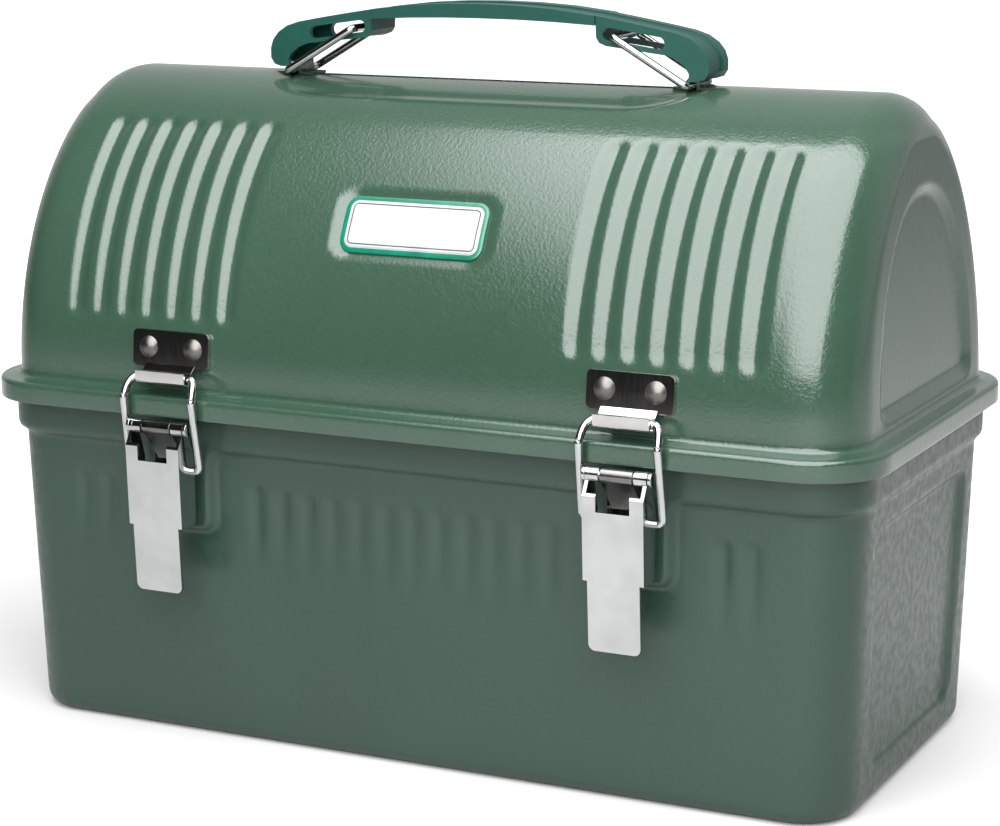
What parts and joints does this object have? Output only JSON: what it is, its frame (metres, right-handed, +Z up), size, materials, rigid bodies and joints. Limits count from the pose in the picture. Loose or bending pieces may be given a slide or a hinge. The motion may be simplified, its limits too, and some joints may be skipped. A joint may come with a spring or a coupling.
{
  "type": "lunch box",
  "caption": "Domed steel lunch box with a deep tub, a hinged lid, over-centre draw latches, a lift-up carrying handle and a wire bottle retainer inside the lid.",
  "frame": {"origin": "centre of the flat bottom of the tub", "axes": "+X along the length, to the right seen from the front; -Y is the front with the latches; +Z up"},
  "size_m": [0.34, 0.1851, 0.261],
  "materials": {
    "paint_body": "glossy hammertone green",
    "paint_lid": "glossy hammertone green",
    "plate_print": "glossy printed plate, pale centre and green border",
    "strike_chrome": "polished chrome",
    "rivet_steel": "satin",
    "bracket_paint": "glossy green",
    "zinc_steel": "bright zinc plate",
    "latch_steel": "bright nickel plate",
    "wire_steel": "bright plated wire",
    "grip_plastic": "satin moulded teal green"
  },
  "bodies": {
    "base": {"tub": "paint_body", "latch_base_left": "zinc_steel", "latch_base_right": "zinc_steel", "latch_base_rivets": "rivet_steel", "lever_pin_left": "zinc_steel", "lever_pin_right": "zinc_steel", "hinge_lower_left": "zinc_steel", "hinge_lower_right": "zinc_steel", "hinge_lower_rivets": "rivet_steel", "hinge_pin_left": "zinc_steel", "hinge_pin_right": "zinc_steel"},
    "lid": {"lid_shell": "paint_lid", "name_plate": "plate_print", "strike_left": "strike_chrome", "strike_right": "strike_chrome", "strike_rivets": "rivet_steel", "handle_bracket_left": "bracket_paint", "handle_bracket_right": "bracket_paint", "handle_bracket_rivets": "bracket_paint", "hinge_upper_left": "zinc_steel", "hinge_upper_right": "zinc_steel", "hinge_upper_rivets": "rivet_steel", "retainer_bracket_left": "zinc_steel", "retainer_bracket_right": "zinc_steel", "retainer_catch": "zinc_steel"},
    "lever_left": {"latch_lever_left": "latch_steel"},
    "lever_right": {"latch_lever_right": "latch_steel"},
    "loop_left": {"latch_loop_left": "wire_steel"},
    "loop_right": {"latch_loop_right": "wire_steel"},
    "grip": {"handle_grip": "grip_plastic"},
    "bail_left": {"handle_bail_left": "wire_steel"},
    "bail_right": {"handle_bail_right": "wire_steel"},
    "retainer": {"bottle_retainer": "wire_steel"}
  },
  "joints": [
    {"name": "lid_hinge", "type": "hinge", "parent": "base", "child": "lid", "pos_m": [0, 0.0889, 0.117], "axis": [-1, 0, 0], "range_deg": [0, 105]},
    {"name": "lever_left_pivot", "type": "hinge", "parent": "base", "child": "lever_left", "pos_m": [-0.0879, -0.0885, 0.1165], "axis": [-1, 0, 0], "range_deg": [0, 115.5]},
    {"name": "loop_left_pivot", "type": "hinge", "parent": "lever_left", "child": "loop_left", "pos_m": [-0.0879, -0.085, 0.101], "axis": [1, 0, 0], "range_deg": [0, 157.5]},
    {"name": "lever_right_pivot", "type": "hinge", "parent": "base", "child": "lever_right", "pos_m": [0.0879, -0.0885, 0.1165], "axis": [-1, 0, 0], "range_deg": [0, 115.5]},
    {"name": "loop_right_pivot", "type": "hinge", "parent": "lever_right", "child": "loop_right", "pos_m": [0.0879, -0.085, 0.101], "axis": [1, 0, 0], "range_deg": [0, 157.5]},
    {"name": "grip_lift", "type": "slide", "parent": "lid", "child": "grip", "axis": [0, 0, 1], "range_m": [0, 0.013]},
    {"name": "bail_left_pivot", "type": "hinge", "parent": "lid", "child": "bail_left", "pos_m": [-0.0785, 0, 0.235], "axis": [0, -1, 0], "range_deg": [0, 30]},
    {"name": "bail_right_pivot", "type": "hinge", "parent": "lid", "child": "bail_right", "pos_m": [0.0785, 0, 0.235], "axis": [0, 1, 0], "range_deg": [0, 30]},
    {"name": "retainer_swing", "type": "hinge", "parent": "lid", "child": "retainer", "pos_m": [0, 0.0726, 0.134], "axis": [1, 0, 0], "range_deg": [0, 60]}
  ],
  "couplings": [
    {"joint": "lever_left_pivot", "follows": "lid_hinge", "ratio": 1.1},
    {"joint": "loop_left_pivot", "follows": "lid_hinge", "ratio": 1.5},
    {"joint": "bail_left_pivot", "follows": "grip_lift", "rad_per_m": 40},
    {"joint": "lever_right_pivot", "follows": "lid_hinge", "ratio": 1.1},
    {"joint": "loop_right_pivot", "follows": "lid_hinge", "ratio": 1.5},
    {"joint": "bail_right_pivot", "follows": "grip_lift", "rad_per_m": 40}
  ]
}
